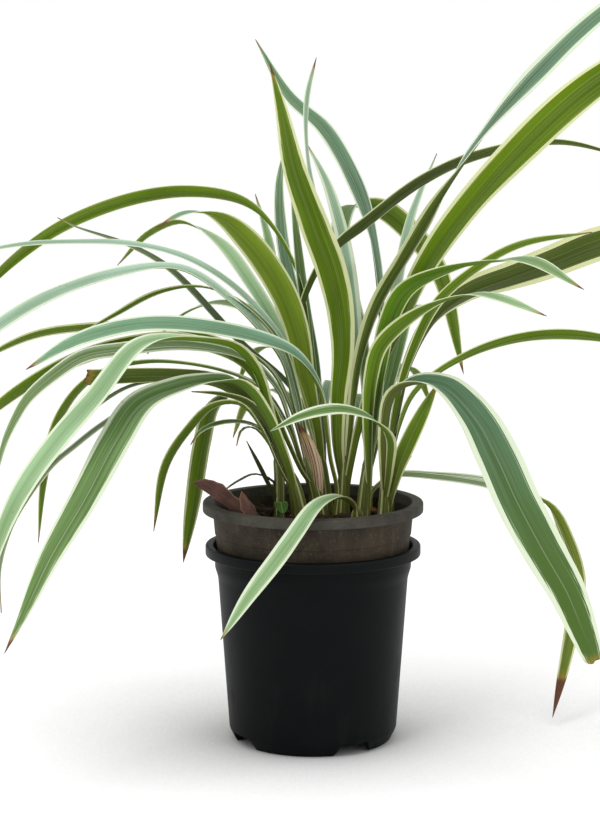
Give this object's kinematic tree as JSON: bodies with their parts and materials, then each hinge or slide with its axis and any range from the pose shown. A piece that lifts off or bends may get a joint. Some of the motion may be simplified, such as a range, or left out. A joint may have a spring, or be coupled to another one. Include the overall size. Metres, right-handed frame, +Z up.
{
  "type": "potted long-leaved plant",
  "caption": "Variegated clumping house plant with long arching cream-edged leaves, in a nursery pot nested in a second nursery pot.",
  "frame": {"origin": "on the floor under the middle of the whole plant, which is the axis of both pots", "axes": "+Z up along the pots' axis; -Y is the pictured front; +X is to the right in the picture"},
  "size_m": [0.6684, 0.4435, 0.6228],
  "materials": {
    "outer_pot": "black polypropylene with a soft sheen",
    "inner_pot": "weathered grey-brown plastic, dusty",
    "soil": "loose dark bark and peat mix",
    "leaf": "satin leaf skin, green with cream margins",
    "dry_leaf": "dry reddish-brown leaf",
    "seedling": "bright fresh leaf"
  },
  "bodies": {
    "root": {"outer_pot": "outer_pot", "inner_pot": "inner_pot", "soil": "soil", "slim_left_shoot": "leaf", "left_front_shoot": "leaf", "left_middle_shoot": "leaf", "left_back_shoot": "leaf", "centre_shoot": "leaf", "centre_right_shoot": "leaf", "right_shoot": "leaf", "front_leaf": "leaf", "right_back_shoot": "leaf", "dry_leaf_long": "dry_leaf", "dry_leaf_short": "dry_leaf", "seedling": "seedling"}
  },
  "joints": []
}
